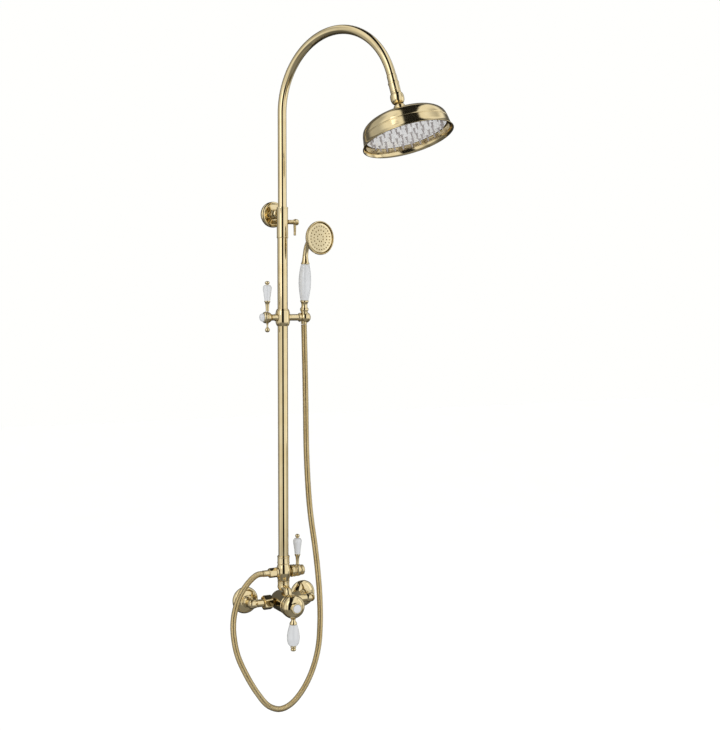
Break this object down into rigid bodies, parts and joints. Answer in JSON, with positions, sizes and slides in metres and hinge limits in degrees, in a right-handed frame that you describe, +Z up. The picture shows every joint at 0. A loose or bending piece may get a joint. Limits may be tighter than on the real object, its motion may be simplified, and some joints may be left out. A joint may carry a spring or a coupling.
{
  "type": "rainfall shower column",
  "caption": "Wall-hung shower column: thermostatic valve, diverter, telescoping riser with gooseneck arm and swivelling rose, and a hand shower with hose on a sliding holder.",
  "frame": {"origin": "on the wall plane, midway between the two inlet centres", "axes": "+X to the right along the wall, +Y into the wall, +Z up along the riser"},
  "size_m": [0.3871, 0.494, 1.5851],
  "materials": {
    "polished_gold": "polished champagne gold plating",
    "plain_brass": "machined, unplated",
    "gold_hose": "ribbed double-interlock metal hose, gold plated",
    "porcelain": "glossy white glaze",
    "nylon": "plain",
    "silicone": "translucent grey-white, satin",
    "rubber": "matt"
  },
  "bodies": {
    "root": {"left_wall_flange": "polished_gold", "left_elbow": "polished_gold", "left_union_nut": "polished_gold", "left_union_tail": "plain_brass", "right_wall_flange": "polished_gold", "right_elbow": "polished_gold", "right_union_nut": "polished_gold", "right_union_tail": "plain_brass", "valve_body": "polished_gold", "valve_rear_cap": "polished_gold", "thermostatic_cartridge": "plain_brass", "valve_stop_ring": "polished_gold", "swan_neck": "polished_gold", "diverter_body": "polished_gold", "riser_coupling": "polished_gold", "diverter_cartridge": "plain_brass", "diverter_bonnet": "polished_gold", "lower_riser_tube": "polished_gold", "riser_bracket": "polished_gold", "bracket_wall_flange": "polished_gold", "bracket_stud": "plain_brass", "hose_nut": "polished_gold", "hose_lower_ferrule": "polished_gold", "shower_hose": "gold_hose"},
    "temperature_lever": {"temperature_hub": "polished_gold", "index_button": "porcelain", "handle_screw": "plain_brass", "temperature_lever_ferrule": "polished_gold", "temperature_lever_handle": "porcelain", "temperature_lever_finial": "polished_gold"},
    "diverter_lever": {"diverter_knob": "polished_gold", "diverter_knob_cap": "polished_gold", "diverter_lever_stem": "polished_gold", "diverter_lever_handle": "porcelain", "diverter_lever_finial": "polished_gold"},
    "lock_screw": {"lock_screw": "polished_gold"},
    "riser_bush": {"riser_bush": "nylon"},
    "upper_riser": {"gooseneck_tube": "polished_gold", "arm_end_sleeve": "polished_gold", "swivel_nut": "polished_gold", "swivel_ball": "plain_brass"},
    "ball_seat": {"ball_seat": "nylon"},
    "rose": {"rose_bell": "polished_gold", "rose_gasket": "rubber", "rose_nozzle_plate": "silicone"},
    "slider_bush": {"slider_bush": "nylon"},
    "slider": {"slider_body": "polished_gold"},
    "clamp_lever": {"clamp_hub": "polished_gold", "clamp_cap": "porcelain", "clamp_lever_stem": "polished_gold", "clamp_lever_handle": "porcelain", "clamp_lever_finial": "polished_gold"},
    "holder": {"holder_ball": "polished_gold"},
    "handset": {"hose_cone_nut": "polished_gold", "hose_upper_ferrule": "polished_gold", "handset_base": "polished_gold", "handset_handle": "porcelain", "handset_head": "polished_gold", "handset_face": "polished_gold"}
  },
  "joints": [
    {"name": "temperature_turn", "type": "hinge", "parent": "root", "child": "temperature_lever", "pos_m": [0, -0.114, 0], "axis": [0, -1, 0], "range_deg": [-60, 60]},
    {"name": "diverter_turn", "type": "hinge", "parent": "root", "child": "diverter_lever", "pos_m": [0, -0.059, 0.072], "axis": [1, 0, 0], "range_deg": [-90, 45]},
    {"name": "lock_screw_turn", "type": "hinge", "parent": "root", "child": "lock_screw", "pos_m": [0, -0.059, 0.896], "axis": [1, 0, 0], "range_deg": [0, 180]},
    {"name": "arm_swivel", "type": "hinge", "parent": "root", "child": "riser_bush", "pos_m": [0, -0.059, 0.916], "axis": [0, 0, 1], "range_deg": [-100, 55]},
    {"name": "riser_telescope", "type": "slide", "parent": "riser_bush", "child": "upper_riser", "axis": [0, 0, 1], "range_m": [-0.12, 0.2]},
    {"name": "rose_tilt", "type": "hinge", "parent": "upper_riser", "child": "ball_seat", "pos_m": [0.14121, -0.3646, 1.12532], "axis": [0.9078, 0.4195, 0], "range_deg": [-15, 15]},
    {"name": "rose_cross_tilt", "type": "hinge", "parent": "ball_seat", "child": "rose", "pos_m": [0.14121, -0.3646, 1.12532], "axis": [0.4195, -0.9078, 0], "range_deg": [-15, 15]},
    {"name": "holder_slide", "type": "slide", "parent": "root", "child": "slider_bush", "axis": [0, 0, 1], "range_m": [-0.25, 0.12], "deforming": ["shower_hose"]},
    {"name": "holder_swivel", "type": "hinge", "parent": "slider_bush", "child": "slider", "pos_m": [0, -0.059, 0.673], "axis": [0, 0, 1], "range_deg": [-45, 45]},
    {"name": "clamp_turn", "type": "hinge", "parent": "slider", "child": "clamp_lever", "pos_m": [-0.039, -0.059, 0.673], "axis": [1, 0, 0], "range_deg": [-90, 90]},
    {"name": "holder_tilt", "type": "hinge", "parent": "slider", "child": "holder", "pos_m": [0.058, -0.059, 0.673], "axis": [1, 0, 0], "range_deg": [-10, 20]},
    {"name": "handset_lift", "type": "slide", "parent": "holder", "child": "handset", "axis": [0, -0.0523, 0.9986], "range_m": [0, 0.03]}
  ]
}
